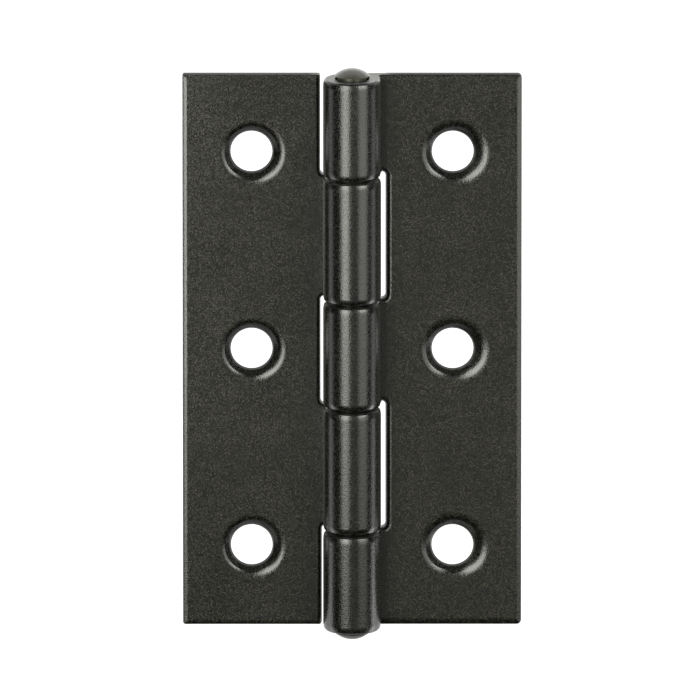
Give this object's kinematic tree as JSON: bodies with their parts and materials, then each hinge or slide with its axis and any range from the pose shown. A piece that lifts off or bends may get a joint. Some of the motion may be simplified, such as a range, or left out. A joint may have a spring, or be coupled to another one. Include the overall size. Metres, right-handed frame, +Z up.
{
  "type": "flat hinge",
  "caption": "Flat butt hinge of folded sheet steel: two leaves with countersunk screw holes turn on one captive pin, so a door or lid swings on its frame.",
  "frame": {"origin": "on the pin's axis, halfway up the leaves", "axes": "+X from the pin towards the right leaf's outer edge, +Y away from the side with the countersinks and the barrel, +Z up along the pin; laid open flat at rest"},
  "size_m": [0.06, 0.0102, 0.1036],
  "materials": {
    "left_leaf": "satin black powder coat with a fine grain",
    "right_leaf": "satin black powder coat with a fine grain",
    "hinge_pin": "satin black powder coat with a fine grain"
  },
  "bodies": {
    "right_leaf": {"right_leaf": "right_leaf", "hinge_pin": "hinge_pin"},
    "left_leaf": {"left_leaf": "left_leaf"}
  },
  "joints": [
    {"name": "leaf_hinge", "type": "hinge", "parent": "right_leaf", "child": "left_leaf", "pos_m": [0, 0, 0], "axis": [0, 0, 1], "range_deg": [-90, 190]}
  ]
}
